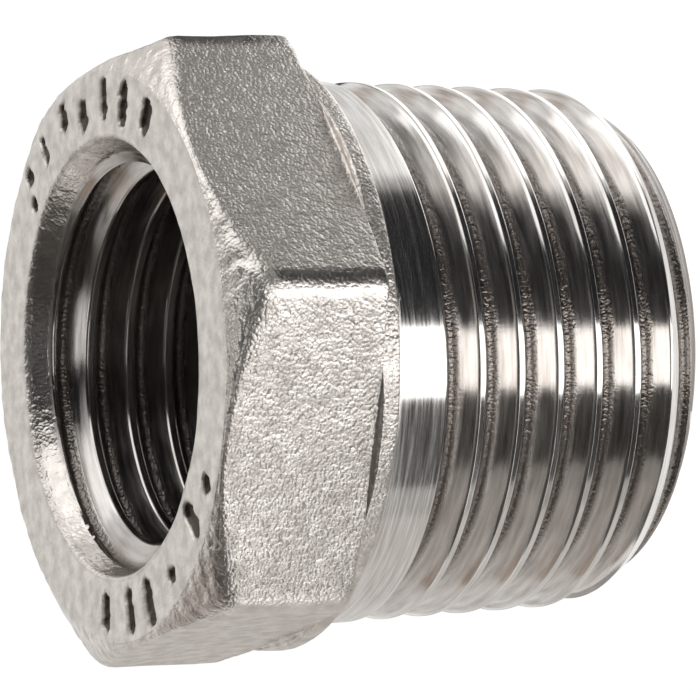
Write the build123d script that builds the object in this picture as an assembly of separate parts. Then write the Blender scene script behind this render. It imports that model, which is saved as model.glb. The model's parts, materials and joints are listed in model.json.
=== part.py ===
from build123d import *
import math
import os

# A hexagon reducing bushing for pipe work, cast in stainless steel and machined: a 3/8 inch
# taper thread outside and a 1/4 inch parallel thread inside.
# Millimetres and degrees. The bushing stands on the small end of its male thread at z = 0,
# and its axis is +Z, out of the hexagon's face.

# Overall
overall_length = 16.5

# Cast head: a hexagon, then a round collar between the hexagon and the male thread
across_flats = 17.8
hexagon_height = 4.9
hexagon_corner_radius = 0.6
hexagon_back_edge_radius = 0.25
face_chamfer_inset = 0.15
face_chamfer_angle = 28.0
face_edge_radius = 0.15
collar_diameter = 18.4
collar_height = 0.65
collar_edge_radius = 0.25
neck_fillet_radius = 0.35

# Male thread, 3/8 inch taper pipe thread, 19 to the inch
male_gauge_diameter = 16.662
male_gauge_length = 6.4
male_taper = 1 / 16
male_pitch = 1.337
male_full_thread_length = 8.8
male_run_out_turns = 0.5
male_start_angle = 114.4
male_end_diameter = 14.5
male_end_chamfer_length = 1.35

# Female thread, 1/4 inch parallel pipe thread, 19 to the inch, which the solid holds as its
# tapping hole: a plain wall at the size over the crests
female_major_diameter = 13.157
female_pitch = 1.337
mouth_diameter = 13.5
mouth_seat_diameter = 12.55
mouth_depth = 0.72
lead_chamfer_angle = 45.0
exit_diameter = 12.6
exit_chamfer_angle = 45.0

# Both threads share the 55 degree pipe thread form, with its tips cut flat
thread_angle = 55.0
thread_depth_per_pitch = 0.640327
thread_land_per_pitch = 1 / 6
cutter_clearance = 0.15

# Places along the axis
hexagon_back = overall_length - hexagon_height
collar_back = hexagon_back - collar_height
mouth_seat = overall_length - mouth_depth

# Sizes that follow from the ones above
face_chamfer_diameter = across_flats - 2 * face_chamfer_inset
male_half_taper = math.degrees(math.atan(male_taper / 2))
male_depth = thread_depth_per_pitch * male_pitch
female_minor_diameter = female_major_diameter - 2 * thread_depth_per_pitch * female_pitch


def male_radius(z):
    # Radius over the crests, which is also that of the plain neck
    return male_gauge_diameter / 2 + (z - male_gauge_length) * male_taper / 2


def chamfer_length(wide, narrow, angle):
    # Length along the axis of a chamfer that leans by angle from the axis
    return (wide - narrow) / 2 / math.tan(math.radians(angle))


def helix(pitch, height, radius, bottom, cone_angle):
    # A helix whose pitch and height are measured along the axis also when it is on a cone
    slant = 1 / math.cos(math.radians(cone_angle))
    return Edge.make_helix(pitch * slant, height * slant, radius, (0, 0, bottom), (0, 0, 1), cone_angle)


def groove_piece(pitch, height, floor_radius, mouth_radius, bottom, cone_angle):
    # Part of the space between two turns of thread: four helices at the corners of its
    # section, joined by ruled faces and closed by a flat face at each end
    floor_half_width = thread_land_per_pitch * pitch / 2
    flank_width = (mouth_radius - floor_radius) * math.tan(math.radians(thread_angle / 2))
    mouth_half_width = floor_half_width + flank_width
    corners = [
        (floor_radius, -floor_half_width),
        (floor_radius, floor_half_width),
        (mouth_radius, mouth_half_width),
        (mouth_radius, -mouth_half_width),
    ]
    edges = [helix(pitch, height, radius, bottom + shift, cone_angle) for radius, shift in corners]
    sides = [Face.make_surface_from_curves(edges[i], edges[i - 1]) for i in range(4)]
    ends = [Face(Wire.make_polygon([edge @ t for edge in edges])) for t in (0, 1)]
    return Solid(Shell(sides + ends))


def thread_groove(pitch, height, floor_radius, mouth_radius, bottom, start_angle, cone_angle):
    # The whole groove, in equal pieces of no more than one turn that meet end to end
    count = math.ceil(height / pitch)
    rise = height / count
    growth = rise * math.tan(math.radians(cone_angle))
    pieces = []
    for i in range(count):
        piece = groove_piece(
            pitch,
            rise,
            floor_radius + i * growth,
            mouth_radius + i * growth,
            bottom + i * rise,
            cone_angle,
        )
        pieces.append(Rot(0, 0, start_angle + 360 * i * rise / pitch) * piece)
    return pieces


def head():
    # Hexagon with flats square to X, its face turned down to a round chamfer
    outline = RegularPolygon(across_flats / 2, 6, major_radius=False, rotation=30)
    outline = fillet(outline.vertices(), hexagon_corner_radius)
    hexagon = Pos(0, 0, hexagon_back) * extrude(outline, hexagon_height)
    back_edges = hexagon.edges().group_by(Axis.Z)[0]
    hexagon = fillet(back_edges, hexagon_back_edge_radius)
    rim = across_flats
    drop = (rim - face_chamfer_diameter / 2) * math.tan(math.radians(face_chamfer_angle))
    envelope = make_face(
        Polyline(
            (0, 0),
            (rim, 0),
            (rim, overall_length - drop),
            (face_chamfer_diameter / 2, overall_length),
            (0, overall_length),
            close=True,
        )
    )
    hexagon = hexagon & revolve(Plane.XZ * envelope, Axis.Z)
    rim_curves = (GeomType.HYPERBOLA, GeomType.BSPLINE)
    hexagon = fillet([edge for edge in hexagon.edges() if edge.geom_type in rim_curves], face_edge_radius)
    collar = Pos(0, 0, collar_back) * Cylinder(
        collar_diameter / 2, collar_height, align=(Align.CENTER, Align.CENTER, Align.MIN)
    )
    collar = fillet(collar.edges().group_by(Axis.Z)[0], collar_edge_radius)
    return hexagon + collar


def male_blank():
    # The tapered end before its thread is cut, with the chamfer on its small end
    chamfer_top = male_end_chamfer_length
    profile = make_face(
        Polyline(
            (0, 0),
            (male_end_diameter / 2, 0),
            (male_radius(chamfer_top), chamfer_top),
            (male_radius(hexagon_back), hexagon_back),
            (0, hexagon_back),
            close=True,
        )
    )
    return revolve(Plane.XZ * profile, Axis.Z)


def male_thread():
    # Full depth from below the small end up, then half a turn that climbs out of the metal
    start = -male_pitch
    height = male_full_thread_length - start
    full = thread_groove(
        male_pitch,
        height,
        male_radius(start) - male_depth,
        male_radius(start) + cutter_clearance,
        start,
        male_start_angle,
        male_half_taper,
    )
    run_out_height = male_run_out_turns * male_pitch
    climb = male_depth + cutter_clearance
    run_out = thread_groove(
        male_pitch,
        run_out_height,
        male_radius(male_full_thread_length) - male_depth,
        male_radius(male_full_thread_length) + cutter_clearance,
        male_full_thread_length,
        male_start_angle + 360 * height / male_pitch,
        math.degrees(math.atan(climb / run_out_height)),
    )
    return full + run_out


def bore():
    # The cast mouth, the lead chamfer, the tapping hole and the chamfer where the tap comes out
    minor = female_minor_diameter
    lead = chamfer_length(mouth_seat_diameter, minor, lead_chamfer_angle)
    exit_depth = chamfer_length(exit_diameter, minor, exit_chamfer_angle)
    profile = make_face(
        Polyline(
            (0, 0),
            (exit_diameter / 2, 0),
            (minor / 2, exit_depth),
            (minor / 2, mouth_seat - lead),
            (mouth_seat_diameter / 2, mouth_seat),
            (mouth_diameter / 2, overall_length),
            (0, overall_length),
            close=True,
        )
    )
    return revolve(Plane.XZ * profile, Axis.Z)


def hex_bushing():
    body = head() + male_blank()
    neck_corner = body.edges().sort_by_distance((-male_radius(collar_back), 0, collar_back))[0]
    body = fillet(neck_corner, neck_fillet_radius)
    body = body - male_thread()
    return body - bore()


os.makedirs("parts", exist_ok=True)
export_step(hex_bushing(), "parts/hex_bushing.step")
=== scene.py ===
import json
import math

import bmesh
import bpy
import numpy as np
from mathutils import Matrix, Vector


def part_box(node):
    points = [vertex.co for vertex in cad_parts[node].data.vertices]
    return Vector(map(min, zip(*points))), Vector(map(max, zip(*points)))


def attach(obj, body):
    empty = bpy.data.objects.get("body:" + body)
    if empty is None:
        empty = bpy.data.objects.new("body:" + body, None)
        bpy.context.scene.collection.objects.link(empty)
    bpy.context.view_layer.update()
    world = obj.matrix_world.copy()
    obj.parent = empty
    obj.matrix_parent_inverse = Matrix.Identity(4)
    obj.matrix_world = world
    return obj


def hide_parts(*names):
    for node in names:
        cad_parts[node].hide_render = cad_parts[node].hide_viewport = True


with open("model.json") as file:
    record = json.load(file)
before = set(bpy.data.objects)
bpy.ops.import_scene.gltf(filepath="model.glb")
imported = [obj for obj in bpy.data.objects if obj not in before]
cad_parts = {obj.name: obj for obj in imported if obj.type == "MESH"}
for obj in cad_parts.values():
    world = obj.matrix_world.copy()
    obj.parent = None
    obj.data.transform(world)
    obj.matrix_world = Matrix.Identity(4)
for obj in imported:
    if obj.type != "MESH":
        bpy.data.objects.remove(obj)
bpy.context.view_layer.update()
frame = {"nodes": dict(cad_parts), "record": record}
print("frame loaded, nodes:", sorted(frame["nodes"]))

mm = 0.001
bodyNode = "hex_bushing"
lowCorner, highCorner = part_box(bodyNode)
totalLength = (highCorner[2] - lowCorner[2]) / mm
mounts = {mount["name"]: mount for mount in frame["record"]["mounts"]}
boreRadius = mounts["female_thread"]["dims"]["r_mm"]
halfFlats = mounts["spanner_flat"]["pos_m"][0] / mm
tiny = 1e-12       # added to lengths before they divide

# Camera, as the photograph was taken: aim and distance in mm, angles in degrees, clip in metres
view = {
    "aim": (0.055, 0.010, 8.293),
    "distance": 184.86,
    "azimuth": -101.716,
    "elevation": 25.459,
    "roll": -91.241,
    "lens": 305.0,
    "sensor": 36.0,
    "clip": (0.01, 20.0),
}


def placeCamera():
    # back points from the aim to the camera; right is turned round it by the roll
    azimuth = math.radians(view["azimuth"])
    elevation = math.radians(view["elevation"])
    roll = math.radians(view["roll"])
    level = math.cos(elevation)
    back = Vector((level * math.cos(azimuth), level * math.sin(azimuth), math.sin(elevation)))
    sideways = Vector((0, 0, 1)).cross(back).normalized()
    upright = back.cross(sideways)
    right = sideways * math.cos(roll) + upright * math.sin(roll)
    up = back.cross(right)
    data = bpy.data.cameras.new("productCamera")
    data.lens = view["lens"]
    data.sensor_width = view["sensor"]
    data.clip_start, data.clip_end = view["clip"]
    camera = bpy.data.objects.new("productCamera", data)
    bpy.context.collection.objects.link(camera)
    turn = Matrix((right, up, back)).transposed().to_4x4()
    place = (Vector(view["aim"]) + back * view["distance"]) * mm
    camera.matrix_world = Matrix.Translation(place) @ turn
    bpy.context.scene.camera = camera
    print("camera placed")


placeCamera()

# Columns of the mesh round the axis. Angles are measured from +X, in radians.
columns = {
    "head": 480,       # twice the number on the threads
    "thread": 240,
    "gather": 0.5,     # how far the columns crowd towards the hexagon's corners, 0 to 1
    "seam": 75.0,      # angle where the grids close, away from the camera
}
cornerCount = 6
halfSide = math.pi / cornerCount


def columnAngles(count):
    # Even steps u from the seam, pulled towards the corners: angle = u + gather / 6 * sin(6 u)
    even = math.radians(columns["seam"]) + np.linspace(0, 2 * math.pi, count + 1)
    return even + columns["gather"] / cornerCount * np.sin(cornerCount * even)


def softMax(a, b, blend):
    # The larger of two, with the corner between them rounded over the width blend
    near = np.maximum(blend - np.abs(a - b), 0) / blend
    return np.maximum(a, b) + near * near * blend / 4


def softMin(a, b, blend):
    # The smaller of two, rounded in the same way
    return -softMax(-a, -b, blend)


def softStep(value, low, high):
    # Goes smoothly from 0 at low to 1 at high
    share = np.clip((value - low) / (high - low), 0, 1)
    return share * share * (3 - 2 * share)


# Threads: 55 degree form, lengths in mm, angles in degrees
threadForm = {
    "angle": 55.0,
    "pitch": 1.337,
    "depthPerPitch": 0.640327,
    "landPerPitch": 1 / 6,
    "tipBlend": 0.07,
    "rootBlend": 0.14,
    "chamferBlend": 0.05,
    "endBevel": 0.06,
}
maleThread = {
    "gaugeRadius": 8.331,
    "gaugeHeight": 6.4,
    "taper": 1 / 16,
    "fullLength": 8.8,
    "runOut": 0.6685,
    "climb": 1.006,
    "startAngle": 114.4,
    "endRadius": 7.25,
    "endChamfer": 1.35,
    "top": 10.6,
    # Where the rows lie in one pitch, as distances from the middle of the groove
    "rows": (0.06, 0.115, 0.17, 0.335, 0.5, 0.557, 0.61),
}
femaleThread = {
    "startAngle": 276.4,
    "seatHeight": 15.78,
    "seatRadius": 6.275,
    "exitRadius": 6.3,
    "rows": (0.08, 0.17, 0.5, 0.6),
}
pitch = threadForm["pitch"]
threadDepth = threadForm["depthPerPitch"] * pitch
endBevel = threadForm["endBevel"]


def grooveHeight(z, angle, startAngle):
    # Height above the nearest groove's middle: the groove rises one pitch a turn, and its
    # middle is at z = 0 where angle = startAngle
    rise = pitch * (angle - math.radians(startAngle)) / (2 * math.pi)
    return np.mod(z - rise + pitch / 2, pitch) - pitch / 2


def grooveDepth(fromMiddle, lift):
    # Depth below the crest: a flat floor and two straight flanks, both corners rounded, and
    # the whole groove raised by lift
    floorHalf = threadForm["landPerPitch"] * pitch / 2
    steep = math.tan(math.radians(threadForm["angle"] / 2))
    flank = threadDepth - (np.abs(fromMiddle) - floorHalf) / steep
    cut = softMin(flank, threadDepth, threadForm["rootBlend"]) - lift
    return softMax(cut, 0, threadForm["tipBlend"])


def crestRadius(z):
    # Taper cone over the male thread's crests, which the plain neck carries on
    return maleThread["gaugeRadius"] + (z - maleThread["gaugeHeight"]) * maleThread["taper"] / 2


def maleRadius(z, angle):
    # Taper cone less the groove, which climbs out of the metal past the full thread, and
    # inside the chamfer on the small end
    fromMiddle = grooveHeight(z, angle, maleThread["startAngle"])
    pastFull = (z - fromMiddle - maleThread["fullLength"]) / maleThread["runOut"]
    lift = np.clip(pastFull, 0, 1) * maleThread["climb"]
    cut = crestRadius(z) - grooveDepth(fromMiddle, lift)
    slope = (crestRadius(maleThread["endChamfer"]) - maleThread["endRadius"]) / maleThread["endChamfer"]
    return softMin(cut, maleThread["endRadius"] + z * slope, threadForm["chamferBlend"])


def femaleRadius(z, angle):
    # Tapping hole plus the groove, and outside the chamfers at both ends
    fromMiddle = grooveHeight(z, angle, femaleThread["startAngle"])
    cut = boreRadius + grooveDepth(fromMiddle, 0)
    lead = femaleThread["seatRadius"] - (femaleThread["seatHeight"] - z)
    leave = femaleThread["exitRadius"] - z
    blend = threadForm["chamferBlend"]
    return softMax(cut, softMax(lead, leave, blend), blend)


def turnedGrid(radius, thread, low, high):
    # Grid whose rows climb one pitch a turn with the thread, held between two heights. Row i
    # closes onto row i + (rows in a pitch), so the rows run along the crests and roots.
    steps = np.array([-d for d in reversed(thread["rows"])] + [0] + list(thread["rows"]) + [pitch / 2])
    angle = columnAngles(columns["thread"])
    climb = pitch * (angle - angle[0]) / (2 * math.pi)
    first = pitch * (angle[0] - math.radians(thread["startAngle"])) / (2 * math.pi)
    lowTurn = math.floor((low - pitch - first) / pitch)
    highTurn = math.ceil((high - first) / pitch) + 1
    turns = np.arange(lowTurn, highTurn)
    rows = (first + turns[:, None] * pitch + steps[None, :]).ravel()
    z = np.clip(rows[:, None] + climb[None, :], low, high)
    spread = np.broadcast_to(angle, z.shape)
    return radius(z, spread), z, spread


print("thread formulas ready")

# The cast head, from the neck up and over into the mouth: radii, heights and roundings in mm
headShape = {
    "collarBack": 10.95,
    "collarRadius": 9.2,
    "hexBack": 11.6,
    "stepRise": 0.02,      # the hexagon's back leans this much, so it never meets the collar's rim
    "cornerRadius": 0.95,
    "faceRadius": 8.75,
    "faceSlope": 28.0,     # degrees
    "mouthRadius": 6.75,
    "neckFillet": 0.35,
    "collarEdge": 0.25,
    "stepEdge": 0.12,
    "hexBackEdge": 0.28,
    "hexFrontEdge": 0.55,
    "faceEdge": 0.26,
    "mouthEdge": 0.14,
    "straightRows": (0, 1, 1, 0, 13, 6, 15, 6),    # inner rows of each straight run
    "roundRows": 3,        # inner rows of each rounding
    "roundShare": 0.45,    # most of a straight run that one rounding may take
}


def angleFromFlat(angle):
    # Angle from the middle of the nearest flat. Flats face 0, 60, 120 degrees and so on
    return np.mod(angle + halfSide, 2 * halfSide) - halfSide


def hexRadius(angle):
    # Distance of the hexagon's side from the axis, with its corners rounded
    fromFlat = angleFromFlat(angle)
    fromCorner = halfSide - np.abs(fromFlat)
    rounding = headShape["cornerRadius"]
    centre = (halfFlats - rounding) / math.cos(halfSide)
    flat = halfFlats / np.cos(fromFlat)
    reach = np.sqrt(np.maximum(rounding**2 - (centre * np.sin(fromCorner)) ** 2, 0))
    rounded = centre * np.cos(fromCorner) + reach
    # The arc ends where it meets the flat, at this distance along the flat from its middle
    flatHalf = centre * math.sin(halfSide)
    return np.where(np.abs(halfFlats * np.tan(fromFlat)) < flatHalf, flat, rounded)


def meridianRows(corners, blends):
    # Rows along a line of corners. Each inner corner is a quadratic curve that leaves the
    # straight runs at the distance blend from the corner. Corners are (radius, z) arrays.
    points = [np.stack(corner, axis=-1) for corner in corners]
    rows = [points[0]]
    leave = points[0]
    for i in range(1, len(points)):
        last = i == len(points) - 1
        toBefore = points[i - 1] - points[i]
        lengthBefore = np.linalg.norm(toBefore, axis=-1, keepdims=True) + tiny
        blend = 0 if last else np.minimum(blends[i - 1], headShape["roundShare"] * lengthBefore)
        if not last:
            toAfter = points[i + 1] - points[i]
            lengthAfter = np.linalg.norm(toAfter, axis=-1, keepdims=True) + tiny
            blend = np.minimum(blend, headShape["roundShare"] * lengthAfter)
        arrive = points[i] + toBefore / lengthBefore * blend
        for share in np.linspace(0, 1, headShape["straightRows"][i - 1] + 2)[1:-1]:
            rows.append(leave * (1 - share) + arrive * share)
        rows.append(arrive)
        if last:
            break
        leave = points[i] + toAfter / lengthAfter * blend
        for t in np.linspace(0, 1, headShape["roundRows"] + 2)[1:]:
            rows.append(arrive * (1 - t) ** 2 + points[i] * 2 * t * (1 - t) + leave * t**2)
    grid = np.stack(rows)
    return grid[..., 0], grid[..., 1]


def headGrid():
    # The head's meridian at each column: the hexagon's side is hexRadius, and the cone of the
    # chamfer drops from the face by faceSlope
    angle = columnAngles(columns["head"])
    one = np.ones_like(angle)
    neck = maleThread["top"]
    neckRadius = maleRadius(neck * one, angle)
    side = hexRadius(angle)
    drop = (side - headShape["faceRadius"]) * math.tan(math.radians(headShape["faceSlope"]))
    seat = femaleThread["seatHeight"]
    seatRadius = femaleRadius(seat * one, angle)
    corners = [
        (neckRadius, neck * one),
        (neckRadius, headShape["collarBack"] * one),
        (headShape["collarRadius"] * one, headShape["collarBack"] * one),
        (headShape["collarRadius"] * one, headShape["hexBack"] * one),
        (side, (headShape["hexBack"] + headShape["stepRise"]) * one),
        (side, totalLength - drop),
        (headShape["faceRadius"] * one, totalLength * one),
        (headShape["mouthRadius"] * one, totalLength * one),
        (seatRadius, seat * one),
    ]
    blends = [
        headShape["neckFillet"],
        headShape["collarEdge"],
        headShape["stepEdge"],
        headShape["hexBackEdge"],
        headShape["hexFrontEdge"],
        headShape["faceEdge"],
        headShape["mouthEdge"],
    ]
    radius, z = meridianRows(corners, blends)
    return radius, z, np.broadcast_to(angle, z.shape)


def endGrid():
    # The flat small end, from the bore out to the thread, with a small bevel on both edges
    angle = columnAngles(columns["thread"])
    one = np.ones_like(angle)
    inner = femaleRadius(endBevel * one, angle)
    outer = maleRadius(endBevel * one, angle)
    radius = np.stack([inner, inner + endBevel, (inner + outer) / 2, outer - endBevel, outer])
    z = np.stack([endBevel * one, 0 * one, 0 * one, 0 * one, endBevel * one])
    return radius, z, np.broadcast_to(angle, z.shape)


def toPoints(radius, z, angle):
    # From radius, height and angle to x, y and z
    return np.stack([radius * np.cos(angle), radius * np.sin(angle), z], axis=-1)


def turnedNormals(radius, z, angle):
    # Normals of the surface r = radius(z, angle), from its slopes along and round the axis
    step = 0.001
    here = radius(z, angle)
    alongSlope = (radius(z + step, angle) - radius(z - step, angle)) / (2 * step)
    roundSlope = (radius(z, angle + step) - radius(z, angle - step)) / (2 * step) / here
    across = np.cos(angle) + roundSlope * np.sin(angle)
    onward = np.sin(angle) - roundSlope * np.cos(angle)
    normals = np.stack([across, onward, -alongSlope], axis=-1)
    return normals / np.linalg.norm(normals, axis=-1, keepdims=True)


def gridNormals(points):
    # Across the columns, then along the rows: their product points out of the metal
    around = np.gradient(points, axis=1)
    around[:, 0] = around[:, -1] = points[:, 1] - points[:, -2]
    normals = np.cross(around, np.gradient(points, axis=0))
    return normals / (np.linalg.norm(normals, axis=-1, keepdims=True) + tiny)


# Unevenness of the cast skin: wave lengths, and heights everywhere and on the chamfer, in mm
castWaves = (
    {"length": 2.6, "height": 0.010, "chamfer": 0.010, "seed": 3},
    {"length": 0.6, "height": 0.003, "chamfer": 0.010, "seed": 8},
)
waveMix = {"count": 40, "stretch": (0.7, 1.5)}    # plane waves in a field, and their variety


def waveField(points, length, seed):
    # Smooth random field of about unit height: the sum of plane waves with random directions,
    # lengths and phases, over the root of half their number
    random = np.random.default_rng(seed)
    directions = random.normal(size=(waveMix["count"], 3))
    directions /= np.linalg.norm(directions, axis=1, keepdims=True)
    stretch = random.uniform(*waveMix["stretch"], waveMix["count"])
    phases = random.uniform(0, 2 * math.pi, waveMix["count"])
    waves = np.sin(points @ (directions * stretch[:, None] * 2 * math.pi / length).T + phases)
    return waves.sum(axis=-1) / math.sqrt(waveMix["count"] / 2)


# Plain cast marks sunk into the face, in mm and degrees
castMarks = {
    "depth": 0.17,
    "slope": 0.09,         # half the width of the wall between the face and a mark's floor
    "ragged": 0.035,       # how far the outline strays, in waves of raggedLength
    "raggedLength": 0.4,
    "raggedSeed": 11,
    "fadeDepths": (0.25, 0.1),     # below the face, where a mark is gone and where it is whole
    "burr": 0.045,         # height of the lump that the metal left at a bar's inner end
    "burrAway": 0.26,      # from the bar's end to the lump's middle
    "burrRadii": (0.05, 0.3),      # the lump falls away between these distances
    # Angle, radius of the middle, length along the radius, width
    "bars": (
        (24.3, 8.0, 0.75, 0.30),
        (11.3, 8.1, 0.45, 0.44),
        (0.5, 7.6, 0.45, 0.52),
        (-12.0, 7.9, 0.80, 0.40),
        (-23.0, 7.8, 0.90, 0.50),
        (-36.0, 7.9, 0.55, 0.56),
        (164.0, 7.85, 0.70, 0.44),
        (177.5, 7.85, 0.95, 0.40),
        (188.5, 7.9, 0.95, 0.50),
        (219.0, 7.75, 0.75, 0.50),
    ),
    # Angle, radius of the middle, width
    "dots": (
        (34.8, 8.25, 0.52),
        (37.8, 7.4, 0.42),
        (202.5, 7.9, 0.5),
        (230.0, 8.05, 0.5),
    ),
}


def markMasks(points):
    # 1 inside a mark and 0 outside it, and the same for the lumps at the bars' inner ends. A
    # bar is every point within half its width of a line along the radius, less a ragged edge.
    inside = np.zeros(points.shape[:-1])
    lumps = np.zeros(points.shape[:-1])
    strays = waveField(points, castMarks["raggedLength"], castMarks["raggedSeed"])
    ragged = castMarks["ragged"] * strays
    dots = tuple((degrees, middle, 0.0, width) for degrees, middle, width in castMarks["dots"])
    for degrees, middle, length, width in castMarks["bars"] + dots:
        turn = math.radians(degrees)
        outward = points[..., 0] * math.cos(turn) + points[..., 1] * math.sin(turn)
        sideways = -points[..., 0] * math.sin(turn) + points[..., 1] * math.cos(turn)
        along = np.maximum(np.abs(outward - middle) - length / 2, 0)
        away = np.hypot(along, sideways) - width / 2 + ragged
        inside = np.maximum(inside, 1 - softStep(away, -castMarks["slope"], castMarks["slope"]))
        fromLump = np.hypot(outward - middle + length / 2 + castMarks["burrAway"], sideways)
        lump = 1 - softStep(fromLump, *castMarks["burrRadii"])
        lumps = np.maximum(lumps, lump * (length > 0))
    return inside, lumps


# Where the cast skin changes. A pair holds the limits of a soft step, in mm, or in the upward
# part of the normal where it is named Rise or Top. Drops are what a mask takes off a height,
# and glosses how glossy it makes the skin, both from 0 to 1.
castSkin = {
    "neckFade": 0.2,
    "chamferRise": (0.5, 0.8),
    "chamferTop": (0.93, 0.985),
    "chamferRadius": (8.0, 8.6),
    "faceRise": (0.96, 0.995),
    "mouthDepth": (0.02, 0.2),
    "mouthMargin": 0.05,
    "cornerAlong": (4.5, 4.8),
    "cornerRadius": (9.3, 9.5),
    "cornerRise": (0.2, 0.5),
    "waveDrop": 0.8,       # on the face
    "pebbles": 0.6,        # height of the pebbles on the sides, as a share
    "chamferDrop": 0.33,
    "smoothDrop": 0.6,     # on the face, in the mouth and on the corners
    "chamferGloss": 0.5,
    "mouthGloss": 0.8,
    "cornerGloss": 0.6,
}


def skinMasks(radius, z, angle, rise):
    # Each from 0 to 1: the chamfer, the face, the mouth and the hexagon's corners
    onChamfer = softStep(rise, *castSkin["chamferRise"])
    onChamfer = onChamfer * (1 - softStep(rise, *castSkin["chamferTop"]))
    onChamfer = onChamfer * softStep(radius, *castSkin["chamferRadius"])
    onFace = softStep(rise, *castSkin["faceRise"])
    inMouth = softStep(totalLength - z, *castSkin["mouthDepth"])
    inMouth = inMouth * (radius < headShape["mouthRadius"] + castSkin["mouthMargin"])
    alongFlat = halfFlats * np.abs(np.tan(angleFromFlat(angle)))
    onCorner = softStep(alongFlat, *castSkin["cornerAlong"])
    onCorner = onCorner * softStep(radius, *castSkin["cornerRadius"])
    onCorner = onCorner * (1 - softStep(rise, *castSkin["cornerRise"]))
    return onChamfer, onFace, inMouth, onCorner


def castHead(radius, z, angle):
    # The head's points as cast. Each moves along its normal by a sum of waves, which fades to
    # nothing where the skin meets turned metal, and by the depth of the marks. The layers are
    # what the skin's material reads.
    points = toPoints(radius, z, angle)
    normals = gridNormals(points)
    onChamfer, onFace, inMouth, onCorner = skinMasks(radius, z, angle, normals[..., 2])
    fade = softStep(z, headShape["collarBack"], headShape["collarBack"] + castSkin["neckFade"])
    fade[-1] = 0
    lumps = 0
    for wave in castWaves:
        height = wave["height"] + (wave["chamfer"] - wave["height"]) * onChamfer
        height = height * (1 - castSkin["waveDrop"] * onFace)
        lumps = lumps + height * waveField(points, wave["length"], wave["seed"])
    low, high = castMarks["fadeDepths"]
    nearFace = softStep(z, totalLength - low, totalLength - high)
    sunk, burrs = (mask * nearFace for mask in markMasks(points))
    lumps = lumps * fade + burrs * castMarks["burr"] - sunk * castMarks["depth"]
    moved = points + normals * lumps[..., None]
    moved[:, -1] = moved[:, 0]
    lumpy = castSkin["pebbles"] - castSkin["chamferDrop"] * onChamfer
    for mask in (onFace, inMouth, onCorner):
        lumpy = lumpy * (1 - castSkin["smoothDrop"] * mask)
    glossy = np.maximum(onChamfer * castSkin["chamferGloss"], inMouth * castSkin["mouthGloss"])
    glossy = np.maximum(glossy, onCorner * castSkin["cornerGloss"])
    # The marks' mask goes to the material, which paints shade in them
    return moved, {"markShade": sunk, "lumpy": lumpy, "glossy": glossy}


def gridQuads(rows, cols, start):
    # The four corners of each cell of a grid whose points are numbered row by row from start
    corner = start + np.arange(rows - 1)[:, None] * cols + np.arange(cols - 1)[None, :]
    return np.stack([corner, corner + 1, corner + cols + 1, corner + cols], axis=-1).reshape(-1, 4)


def halvingStrip(wideRow, fineRow, cols):
    # Joins a row that keeps every second point to a full row: three triangles for each pair
    even = np.arange(0, cols - 1, 2)
    a = wideRow + even
    b = wideRow + even + 2
    c = fineRow + even
    return np.concatenate(
        [
            np.stack([a, c + 1, c], axis=-1),
            np.stack([a, b, c + 1], axis=-1),
            np.stack([b, c + 2, c + 1], axis=-1),
        ]
    )


def bushingFaces(grids):
    # Faces of the male thread, head, bore and small end, and the material of each. The head's
    # first and last rows keep every second point, to meet the threads' columns.
    cast, turned = 0, 1
    sizes = [points.shape[0] * points.shape[1] for points in grids.values()]
    starts = dict(zip(grids, np.cumsum([0] + sizes)))
    threadsAndEnd = ("male", "female", "end")
    male, female, end = (gridQuads(*grids[part].shape[:2], starts[part]) for part in threadsAndEnd)
    rowCount, colCount = grids["head"].shape[:2]
    firstRow = starts["head"]
    lastRow = firstRow + (rowCount - 1) * colCount
    head = gridQuads(rowCount - 2, colCount, firstRow + colCount)
    # The fillet between the neck and the collar is turned, up to here
    neckFaces = (headShape["roundRows"] + 1) * (colCount - 1)
    parts = (
        (male, turned),
        (head[:neckFaces], turned),
        (head[neckFaces:], cast),
        (halvingStrip(firstRow, firstRow + colCount, colCount), turned),
        (halvingStrip(lastRow, lastRow - colCount, colCount)[:, ::-1], cast),
        (female[:, ::-1], turned),
        (end, turned),
    )
    faces = [face for part, kind in parts for face in part.tolist()]
    kinds = np.concatenate([np.full(len(part), kind, np.int32) for part, kind in parts])
    return faces, kinds


def addLayers(mesh, surfaces, castLayers):
    # Values at the points for the materials, by layer and surface, and 0 where none is named:
    # across is the distance across the turned profile, groove the share of the groove's depth,
    # and inside is 1 in the bore. A surface is its radius, height and angle at each point.
    male, head, female, end = surfaces.values()
    layers = {
        "across": {
            "male": np.abs(grooveHeight(male[1], male[2], maleThread["startAngle"])),
            "head": head[0] + head[1],
            "female": np.abs(grooveHeight(female[1], female[2], femaleThread["startAngle"])),
            "end": end[0],
        },
        "groove": {
            "male": np.clip((crestRadius(male[1]) - male[0]) / threadDepth, 0, 1),
            "female": np.clip((female[0] - boreRadius) / threadDepth, 0, 1),
        },
        # The bore's mask, where the turned material paints shade
        "inside": {"female": np.ones_like(female[1])},
    }
    for name, values in castLayers.items():
        layers[name] = {"head": values}
    nothing = {part: np.zeros_like(grid[1]) for part, grid in surfaces.items()}
    for name, parts in layers.items():
        values = [np.ravel(parts.get(part, nothing[part])) for part in surfaces]
        layer = mesh.attributes.new(name, "FLOAT", "POINT")
        layer.data.foreach_set("value", np.concatenate(values).astype(np.float32))


# Distances in metres within which points are merged, and below which an edge has no length
sealing = {"merge": 5e-7, "flat": 1e-7}


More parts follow.
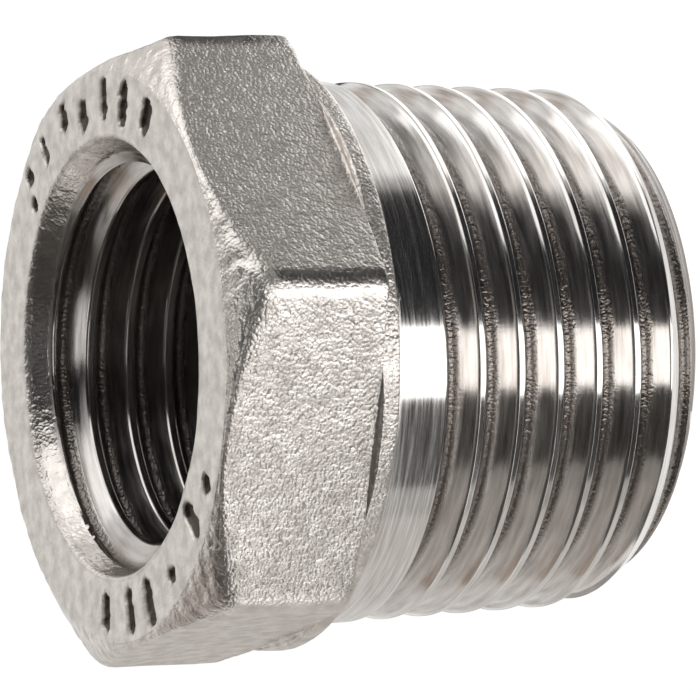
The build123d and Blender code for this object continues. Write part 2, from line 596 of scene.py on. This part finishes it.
def sealMesh(mesh):
    # Joins the surfaces where their edges meet. Gives the number of edges without two faces,
    # and the volume in mm3
    merged = bmesh.new()
    merged.from_mesh(mesh)
    bmesh.ops.remove_doubles(merged, verts=merged.verts, dist=sealing["merge"])
    bmesh.ops.dissolve_degenerate(merged, dist=sealing["flat"], edges=merged.edges)
    loose = [vertex for vertex in merged.verts if not vertex.link_faces]
    bmesh.ops.delete(merged, geom=loose, context="VERTS")
    openEdges = sum(1 for edge in merged.edges if len(edge.link_faces) != 2)
    volume = merged.calc_volume(signed=True) / mm**3
    merged.to_mesh(mesh)
    merged.free()
    return openEdges, volume


def buildBushing():
    # One closed surface: up the outside, over the face, down the bore and across the small end
    surfaces = {
        "male": turnedGrid(maleRadius, maleThread, endBevel, maleThread["top"]),
        "head": headGrid(),
        "female": turnedGrid(femaleRadius, femaleThread, endBevel, femaleThread["seatHeight"]),
        "end": endGrid(),
    }
    grids = {part: toPoints(*grid) for part, grid in surfaces.items()}
    grids["head"], castLayers = castHead(*surfaces["head"])
    points = np.concatenate([grid.reshape(-1, 3) for grid in grids.values()])
    faces, kinds = bushingFaces(grids)
    mesh = bpy.data.meshes.new("bushing")
    mesh.from_pydata(points * mm, [], faces)
    mesh.polygons.foreach_set("material_index", kinds)
    addLayers(mesh, surfaces, castLayers)

    # The true normals pass through the sealing as a layer, then become the mesh's own
    outward = [
        turnedNormals(maleRadius, *surfaces["male"][1:]),
        gridNormals(grids["head"]),
        -turnedNormals(femaleRadius, *surfaces["female"][1:]),
        gridNormals(grids["end"]),
    ]
    layer = mesh.attributes.new("outward", "FLOAT_VECTOR", "POINT")
    layer.data.foreach_set("vector", np.concatenate([part.reshape(-1) for part in outward]))
    openEdges, volume = sealMesh(mesh)
    mesh.polygons.foreach_set("use_smooth", np.ones(len(mesh.polygons), bool))
    kept = np.zeros(len(mesh.vertices) * 3, np.float32)
    mesh.attributes["outward"].data.foreach_get("vector", kept)
    mesh.attributes.remove(mesh.attributes["outward"])
    mesh.normals_split_custom_set_from_vertices(kept.reshape(-1, 3))

    triangles = sum(len(face.vertices) - 2 for face in mesh.polygons)
    print("bushing:", triangles, "triangles,", openEdges, "open edges,", round(volume, 1), "mm3")
    piece = bpy.data.objects.new("cast_and_turned_bushing", mesh)
    bpy.context.collection.objects.link(piece)
    return piece


bushing = buildBushing()
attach(bushing, "root")
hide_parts(bodyNode)


def newGroup(name, inputs, outputs):
    group = bpy.data.node_groups.new(name, "ShaderNodeTree")
    for socketName, kind, value in inputs:
        socket = group.interface.new_socket(name=socketName, in_out="INPUT", socket_type=kind)
        if value is not None:
            socket.default_value = value
    for socketName, kind in outputs:
        group.interface.new_socket(name=socketName, in_out="OUTPUT", socket_type=kind)
    return group, group.nodes.new("NodeGroupInput"), group.nodes.new("NodeGroupOutput")


def addNode(tree, kind, **settings):
    node = tree.nodes.new(kind)
    for name, value in settings.items():
        setattr(node, name, value)
    return node


def addMath(tree, operation, a, b):
    # A math node whose two inputs are sockets or numbers
    node = addNode(tree, "ShaderNodeMath", operation=operation)
    for socket, value in zip(node.inputs, (a, b)):
        if isinstance(value, (int, float)):
            socket.default_value = value
        else:
            tree.links.new(value, socket)
    return node.outputs[0]


# Blasted skin: scales are per lump, and heights are shares of a lump's height
pebbleShape = {
    "swellScale": 0.45,
    "cellScale": 0.85,
    "grainScale": 1.4,
    "grainDetail": 1.0,
    "roundness": 1.2,
    "unevenness": 1.6,
}


def makePebbleGroup():
    # Blasted cast skin: round lumps with sharp valleys between them, and finer grain over them
    group, source, result = newGroup(
        "pebbleSkin",
        (
            ("Vector", "NodeSocketVector", None),
            ("Lump Size", "NodeSocketFloat", 0.14),
            ("Lumps", "NodeSocketFloat", 1.0),
            ("Grain", "NodeSocketFloat", 0.3),
        ),
        (("Height", "NodeSocketFloat"),),
    )
    links = group.links
    perLump = addMath(group, "DIVIDE", 1.0, source.outputs["Lump Size"])
    swells = addNode(group, "ShaderNodeTexNoise")
    swells.inputs["Detail"].default_value = 0.0
    cells = addNode(group, "ShaderNodeTexVoronoi")
    grain = addNode(group, "ShaderNodeTexNoise")
    grain.inputs["Detail"].default_value = pebbleShape["grainDetail"]
    scales = ((swells, "swellScale"), (cells, "cellScale"), (grain, "grainScale"))
    for texture, scale in scales:
        links.new(source.outputs["Vector"], texture.inputs["Vector"])
        links.new(addMath(group, "MULTIPLY", perLump, pebbleShape[scale]), texture.inputs["Scale"])
    # One less the squared distance from a lump's middle, and lumps of uneven height
    squared = addMath(group, "POWER", cells.outputs["Distance"], 2.0)
    fall = addMath(group, "MULTIPLY", squared, pebbleShape["roundness"])
    rounded = addMath(group, "SUBTRACT", 1.0, fall)
    rise = addMath(group, "MULTIPLY", swells.outputs["Fac"], pebbleShape["unevenness"])
    uneven = addMath(group, "ADD", rounded, rise)
    lumps = addMath(group, "MULTIPLY", uneven, source.outputs["Lumps"])
    fine = addMath(group, "MULTIPLY", grain.outputs["Fac"], source.outputs["Grain"])
    links.new(addMath(group, "ADD", lumps, fine), result.inputs["Height"])
    return group


# Lines left by the tool: for each output its waves round the piece and its detail, and how
# far the pattern drifts for each mm of height
turningShape = {
    "outputs": (("Height", 1.6, 1.0), ("Streak", 4.5, 2.0)),
    "drift": 0.9,
    "linesPerMm": 13.0,
}


def makeTurningGroup():
    # Fine lines left by the tool: noise that changes fast across the profile and slowly round it
    group, source, result = newGroup(
        "turningLines",
        (
            ("Vector", "NodeSocketVector", None),
            ("Across", "NodeSocketFloat", 0.0),
            ("Lines Per Mm", "NodeSocketFloat", turningShape["linesPerMm"]),
        ),
        (("Height", "NodeSocketFloat"), ("Streak", "NodeSocketFloat")),
    )
    links = group.links
    flat = addNode(group, "ShaderNodeVectorMath", operation="MULTIPLY")
    flat.inputs[1].default_value = (1, 1, 0)
    links.new(source.outputs["Vector"], flat.inputs[0])
    unit = addNode(group, "ShaderNodeVectorMath", operation="NORMALIZE")
    links.new(flat.outputs[0], unit.inputs[0])
    onCircle = addNode(group, "ShaderNodeSeparateXYZ")
    links.new(unit.outputs[0], onCircle.inputs[0])
    place = addNode(group, "ShaderNodeSeparateXYZ")
    links.new(source.outputs["Vector"], place.inputs[0])
    drift = addMath(group, "MULTIPLY", place.outputs["Z"], turningShape["drift"])
    fast = addMath(group, "MULTIPLY", source.outputs["Across"], source.outputs["Lines Per Mm"])
    for name, around, detail in turningShape["outputs"]:
        joined = addNode(group, "ShaderNodeCombineXYZ")
        links.new(addMath(group, "MULTIPLY", onCircle.outputs["X"], around), joined.inputs["X"])
        slow = addMath(group, "MULTIPLY", onCircle.outputs["Y"], around)
        links.new(addMath(group, "ADD", slow, drift), joined.inputs["Y"])
        links.new(fast, joined.inputs["Z"])
        noise = addNode(group, "ShaderNodeTexNoise")
        noise.inputs["Scale"].default_value = 1.0
        noise.inputs["Detail"].default_value = detail
        links.new(joined.outputs[0], noise.inputs["Vector"])
        links.new(noise.outputs["Fac"], result.inputs[name])
    return group


def startMaterial(name):
    material = bpy.data.materials.new(name)
    material.use_nodes = True
    tree = material.node_tree
    shader = tree.nodes["Principled BSDF"]
    place = addNode(tree, "ShaderNodeTexCoord")
    scaled = addNode(tree, "ShaderNodeMapping")
    scaled.inputs["Scale"].default_value = (1 / mm, 1 / mm, 1 / mm)
    tree.links.new(place.outputs["Object"], scaled.inputs["Vector"])
    return material, tree, shader, scaled.outputs["Vector"]


def attribute(tree, name):
    return addNode(tree, "ShaderNodeAttribute", attribute_name=name).outputs["Fac"]


def mixColour(tree, factor, first, second):
    # The mix node has sockets of all types: 0, 6 and 7 are a colour's factor and two inputs
    node = addNode(tree, "ShaderNodeMix", data_type="RGBA")
    sockets = (node.inputs[0], node.inputs[6], node.inputs[7])
    for socket, value in zip(sockets, (factor, first, second)):
        if isinstance(value, (tuple, float)):
            socket.default_value = value
        else:
            tree.links.new(value, socket)
    return node.outputs[2]


def mapRange(tree, value, low, high, newLow, newHigh):
    # Inputs 1 to 4 of the node are the ends of the old range and of the new one
    node = addNode(tree, "ShaderNodeMapRange")
    for socket, number in zip(list(node.inputs)[1:5], (low, high, newLow, newHigh)):
        socket.default_value = number
    tree.links.new(value, node.inputs[0])
    return node.outputs[0]


castLook = {
    "light": (0.68, 0.64, 0.60, 1),
    "dark": (0.54, 0.50, 0.465, 1),
    # The marks' colour is painted shade: their hollows are coloured dark
    "markShadeColour": (0.075, 0.062, 0.052, 1),
    "markEdge": (0.1, 0.5),        # the painted shade comes in between these depths, as shares
    "patchSize": 0.5,      # mm
    "patchDetail": 3.0,
    "patchRange": (0.35, 0.65),
    "roughLow": 0.38,
    "roughHigh": 0.46,
    "glossyShare": 0.5,    # of the roughness, left where the skin is glossiest
    "lumpSize": 0.095,     # mm, as the height
    "lumpHeight": 0.036,
    "grain": 0.55,
}


def makeCastMaterial(pebbles):
    material, tree, shader, place = startMaterial("blastedCastSteel")
    lumpy = attribute(tree, "lumpy")
    skin = addNode(tree, "ShaderNodeGroup", node_tree=pebbles)
    skin.inputs["Lump Size"].default_value = castLook["lumpSize"]
    tree.links.new(addMath(tree, "MULTIPLY", lumpy, castLook["grain"]), skin.inputs["Grain"])
    tree.links.new(place, skin.inputs["Vector"])
    tree.links.new(lumpy, skin.inputs["Lumps"])
    patches = addNode(tree, "ShaderNodeTexNoise")
    patches.inputs["Scale"].default_value = 1 / castLook["patchSize"]
    patches.inputs["Detail"].default_value = castLook["patchDetail"]
    tree.links.new(place, patches.inputs["Vector"])
    tone = mapRange(tree, patches.outputs["Fac"], *castLook["patchRange"], 0, 1)
    colour = mixColour(tree, tone, castLook["dark"], castLook["light"])
    # Painted shade in the sunk marks
    markShade = mapRange(tree, attribute(tree, "markShade"), *castLook["markEdge"], 0, 1)
    colour = mixColour(tree, markShade, colour, castLook["markShadeColour"])
    tree.links.new(colour, shader.inputs["Base Color"])
    shader.inputs["Metallic"].default_value = 1.0
    rough = mapRange(tree, tone, 0, 1, castLook["roughHigh"], castLook["roughLow"])
    glossier = mapRange(tree, attribute(tree, "glossy"), 0, 1, 1, castLook["glossyShare"])
    tree.links.new(addMath(tree, "MULTIPLY", rough, glossier), shader.inputs["Roughness"])
    bump = addNode(tree, "ShaderNodeBump")
    bump.inputs["Distance"].default_value = mm * castLook["lumpHeight"]
    tree.links.new(skin.outputs["Height"], bump.inputs["Height"])
    tree.links.new(bump.outputs["Normal"], shader.inputs["Normal"])
    return material


turnedLook = {
    "light": (0.78, 0.76, 0.74, 1),
    "dark": (0.52, 0.49, 0.465, 1),
    "streakRange": (0.3, 0.7),
    # The root colour is painted shade: the bottom of each groove is coloured dark
    "root": (0.20, 0.17, 0.15, 1),
    "rootEdge": (0.72, 0.93),      # the root's painted shade comes in between these shares of the depth
    "rootShadeShare": 0.85,
    "boreShade": 0.3,          # share of the root's dark colour painted over the bore as shade
    "lineHeight": 0.0018,  # mm, as the tears
    "tearHeight": 0.014,
    "tearSize": 0.07,
    "roughLow": 0.15,
    "roughHigh": 0.24,
    "rootRough": 0.12,     # more in the roots
    "anisotropy": 0.8,
    "anisotropyTurn": 0.25,
}


def makeTurnedMaterial(lines, pebbles):
    material, tree, shader, place = startMaterial("brightTurnedSteel")
    turning = addNode(tree, "ShaderNodeGroup", node_tree=lines)
    tree.links.new(place, turning.inputs["Vector"])
    tree.links.new(attribute(tree, "across"), turning.inputs["Across"])
    tears = addNode(tree, "ShaderNodeGroup", node_tree=pebbles)
    tears.inputs["Lump Size"].default_value = turnedLook["tearSize"]
    tree.links.new(place, tears.inputs["Vector"])
    inRoot = mapRange(tree, attribute(tree, "groove"), *turnedLook["rootEdge"], 0, 1)
    streak = mapRange(tree, turning.outputs["Streak"], *turnedLook["streakRange"], 0, 1)
    colour = mixColour(tree, streak, turnedLook["dark"], turnedLook["light"])
    # Painted shade in the roots of the grooves
    rootShadeMix = addMath(tree, "MULTIPLY", inRoot, turnedLook["rootShadeShare"])
    colour = mixColour(tree, rootShadeMix, colour, turnedLook["root"])
    # Painted shade over the whole bore
    boreShade = addMath(tree, "MULTIPLY", attribute(tree, "inside"), turnedLook["boreShade"])
    colour = mixColour(tree, boreShade, colour, turnedLook["root"])
    tree.links.new(colour, shader.inputs["Base Color"])
    shader.inputs["Metallic"].default_value = 1.0
    shader.inputs["Anisotropic"].default_value = turnedLook["anisotropy"]
    shader.inputs["Anisotropic Rotation"].default_value = turnedLook["anisotropyTurn"]
    tangent = addNode(tree, "ShaderNodeTangent", direction_type="RADIAL", axis="Z")
    tree.links.new(tangent.outputs[0], shader.inputs["Tangent"])
    smooth = mapRange(tree, streak, 0, 1, turnedLook["roughLow"], turnedLook["roughHigh"])
    rougher = addMath(tree, "MULTIPLY", inRoot, turnedLook["rootRough"])
    tree.links.new(addMath(tree, "ADD", smooth, rougher), shader.inputs["Roughness"])
    lineHeight = addMath(tree, "MULTIPLY", turning.outputs["Height"], turnedLook["lineHeight"])
    tearHeight = addMath(tree, "MULTIPLY", tears.outputs["Height"], turnedLook["tearHeight"])
    height = addMath(tree, "ADD", lineHeight, addMath(tree, "MULTIPLY", tearHeight, inRoot))
    bump = addNode(tree, "ShaderNodeBump")
    bump.inputs["Distance"].default_value = mm
    tree.links.new(height, bump.inputs["Height"])
    tree.links.new(bump.outputs["Normal"], shader.inputs["Normal"])
    return material


pebbleGroup = makePebbleGroup()
turningGroup = makeTurningGroup()
bushing.data.materials.append(makeCastMaterial(pebbleGroup))
bushing.data.materials.append(makeTurnedMaterial(turningGroup, pebbleGroup))
print("materials made")

# Studio. The cards are what the metal reflects: only glossy rays see them. Each is a patch of a
# dome round the object, given by two tilts, the range of sides at each, and a colour. tilt runs
# from the camera (0) over the top (90) to the back (180), and side from -90 at the photo's top
# edge to 90 at its bottom edge, in degrees.
studio = {
    "facing": 256.6,       # degrees from +X to the camera's side
    "domeRadius": 0.5,     # metres, as the next two
    "domeFoot": 0.002,
    "floorSize": 3.0,
    "floorColour": (0.9, 0.9, 0.9, 1),
    "floorRoughness": 0.9,
    "floorGlow": 0.86,
    "fill": 0.22,          # the white world's strength where it only lights the object
    "cardSteps": 25,       # points along each side of a card
    "cards": {
        "lowStrip": (0, 22, (-10, 19), (-9, 18), (1.7, 1.7, 1.7)),
        "darkStrip": (22, 86, (-9, 18), (-4, 13.2), (0.10, 0.10, 0.10)),
        "highStrip": (86, 99, (-4, 13.2), (-3, 12.3), (2.2, 2.2, 2.2)),
        "upperDark": (0, 106, (-47, -10), (-19.5, -3), (0.02, 0.02, 0.022)),
        "lowerDark": (0, 109, (19, 50), (12.3, 25.5), (0.045, 0.042, 0.04)),
        "topGrey": (100, 122, (-8, 13), (-6, 30), (0.22, 0.20, 0.18)),
        "upperSoftbox": (36, 106, (-90, -38), (-90, -19.5), (1.6, 1.6, 1.6)),
        "upperFrontDark": (0, 36, (-90, -47), (-90, -38), (0.10, 0.10, 0.10)),
        "lowerShade": (0, 108, (50, 90), (25, 90), (0.08, 0.075, 0.07)),
        "backSoftbox": (106, 135, (-60, -17), (-60, -22), (2.0, 2.0, 2.0)),
        "backBrown": (147, 158, (-50, -22), (-50, -22), (0.60, 0.54, 0.50)),
        "backShade": (121, 140, (26, 60), (26, 60), (0.40, 0.33, 0.28)),
        "backGrey": (109, 121, (25.5, 60), (30, 60), (0.34, 0.33, 0.32)),
        "backPale": (140, 172, (26, 60), (20, 60), (0.72, 0.70, 0.68)),
    },
    # Cards that lie on the floor. A ray that meets the neck at an angle leaves at twice that
    # angle: two such angles, the reach from the neck in mm, and a colour
    "floorCards": {
        "middleBright": (-6, 9, 0.5, 90, (3.0, 3.0, 3.0)),
        "upperDarkFloor": (-37, -6, 0.5, 90, (0.022, 0.022, 0.024)),
        "upperEdgeFloor": (-41, -37, 0.5, 90, (0.50, 0.49, 0.48)),
        "upperBrightNear": (-80, -41, 0.5, 17, (2.0, 2.0, 2.0)),
        "upperPaleFloor": (-80, -41, 17, 26, (0.85, 0.85, 0.85)),
        "lowerDarkFloor": (9, 29, 0.5, 90, (0.05, 0.048, 0.045)),
        "lowerEdgeFloor": (29, 36, 0.5, 90, (0.50, 0.49, 0.48)),
        "lowerPaleFloor": (36, 90, 0.5, 90, (0.72, 0.70, 0.68)),
        # Past the reach of what the neck shows, for the hexagon's flats alone
        "upperFlatDark": (-90, -24, 26, 120, (0.05, 0.05, 0.05)),
        "lowerFlatBright": (8, 34, 32, 120, (2.2, 2.2, 2.2)),
    },
    "cardHeight": 0.05,    # mm above the floor
    "farCardHeight": 0.1,  # above the other cards, for those that start past farFrom
    "farFrom": 20,
    # A dark disc under the bore, so that no light comes up through it
    "underBore": {"margin": 0.5, "pinhole": 0.01, "steps": (49, 3), "colour": (0.01, 0.01, 0.01)},
}


def glowMaterial(name, colour):
    material = bpy.data.materials.new(name)
    material.use_nodes = True
    tree = material.node_tree
    tree.nodes.clear()
    glow = addNode(tree, "ShaderNodeEmission")
    glow.inputs["Color"].default_value = (*colour, 1)
    out = addNode(tree, "ShaderNodeOutputMaterial")
    tree.links.new(glow.outputs[0], out.inputs["Surface"])
    return material


def stageGrid(name, points, material):
    rows, cols = points.shape[:2]
    mesh = bpy.data.meshes.new(name)
    mesh.from_pydata(points.reshape(-1, 3), [], gridQuads(rows, cols, 0).tolist())
    mesh.materials.append(material)
    piece = bpy.data.objects.new(name, mesh)
    bpy.context.collection.objects.link(piece)
    return piece


def addCard(name, points, colour):
    # Lights reflections alone: the camera doesn't see it, and it casts no shadow
    card = stageGrid(name, points, glowMaterial(name, colour))
    card.visible_camera = False
    card.visible_diffuse = False
    card.visible_shadow = False
    card.visible_transmission = False
    card.visible_volume_scatter = False


def studioAxes():
    facing = math.radians(studio["facing"])
    towards = np.array([math.cos(facing), math.sin(facing), 0])
    sideways = np.array([math.sin(facing), -math.cos(facing), 0])
    return towards, sideways, np.array([0, 0, 1])


def domePatch(tilts, lowSides, highSides):
    # radius * (cos side * (cos tilt * towards + sin tilt * up) + sin side * sideways), and
    # never lower than the dome's foot
    towards, sideways, upwards = studioAxes()
    share = np.linspace(0, 1, studio["cardSteps"])
    tilt = np.radians(tilts[0] + (tilts[1] - tilts[0]) * share)[:, None]
    first = lowSides[0] + (highSides[0] - lowSides[0]) * share[:, None]
    last = lowSides[1] + (highSides[1] - lowSides[1]) * share[:, None]
    side = np.radians(first + (last - first) * share[None, :])[..., None]
    over = np.cos(tilt) * towards + np.sin(tilt) * upwards
    points = (np.cos(side) * over[:, None, :] + np.sin(side) * sideways) * studio["domeRadius"]
    points[..., 2] = np.maximum(points[..., 2], studio["domeFoot"])
    return points


def floorPatch(angles, reaches):
    # From the neck's foot at an angle, by reach along the direction at twice the angle, in mm
    towards, sideways, upwards = studioAxes()
    share = np.linspace(0, 1, studio["cardSteps"])
    angle = np.radians(angles[0] + (angles[1] - angles[0]) * share)[:, None, None]
    reach = (reaches[0] + (reaches[1] - reaches[0]) * share)[None, :, None]
    foot = maleThread["gaugeRadius"] * (np.cos(angle) * towards + np.sin(angle) * sideways)
    far = reaches[0] > studio["farFrom"]
    height = studio["farCardHeight"] if far else studio["cardHeight"]
    flat = foot + reach * (np.cos(2 * angle) * towards + np.sin(2 * angle) * sideways)
    return flat + height * upwards


def buildCards():
    for name, (tiltLow, tiltHigh, lowSides, highSides, colour) in studio["cards"].items():
        addCard(name, domePatch((tiltLow, tiltHigh), lowSides, highSides), colour)
    for name, (low, high, near, far, colour) in studio["floorCards"].items():
        addCard(name, floorPatch((low, high), (near, far)) * mm, colour)
    disc = studio["underBore"]
    around = np.linspace(0, 2 * math.pi, disc["steps"][0])[:, None]
    radius = np.linspace(disc["pinhole"], boreRadius + disc["margin"], disc["steps"][1])[None, :]
    height = np.full((around + radius).shape, studio["cardHeight"])
    addCard("underBore", toPoints(radius, height, around) * mm, disc["colour"])


def seenDirectly(tree):
    # 1 for camera, glossy and transmitted rays, which see floor and world as white
    path = addNode(tree, "ShaderNodeLightPath")
    direct = addMath(tree, "MAXIMUM", path.outputs["Is Camera Ray"], path.outputs["Is Glossy Ray"])
    return addMath(tree, "MAXIMUM", direct, path.outputs["Is Transmission Ray"])


def buildFloor():
    half = studio["floorSize"] / 2
    near = [[-half, -half, 0], [half, -half, 0]]
    far = [[-half, half, 0], [half, half, 0]]
    material = bpy.data.materials.new("paleFloor")
    material.use_nodes = True
    tree = material.node_tree
    shader = tree.nodes["Principled BSDF"]
    shader.inputs["Base Color"].default_value = studio["floorColour"]
    shader.inputs["Roughness"].default_value = studio["floorRoughness"]
    shader.inputs["Specular IOR Level"].default_value = 0.0
    shader.inputs["Emission Color"].default_value = (1, 1, 1, 1)
    glow = addMath(tree, "MULTIPLY", seenDirectly(tree), studio["floorGlow"])
    tree.links.new(glow, shader.inputs["Emission Strength"])
    stageGrid("floor", np.array([near, far]), material)


def buildWorld():
    world = bpy.data.worlds.new("whiteStudio")
    world.use_nodes = True
    bpy.context.scene.world = world
    tree = world.node_tree
    background = tree.nodes["Background"]
    background.inputs["Color"].default_value = (1, 1, 1, 1)
    strength = mapRange(tree, seenDirectly(tree), 0, 1, studio["fill"], 1.0)
    tree.links.new(strength, background.inputs["Strength"])


buildCards()
buildFloor()
buildWorld()
bpy.context.scene.view_settings.view_transform = "Standard"
print("studio built")
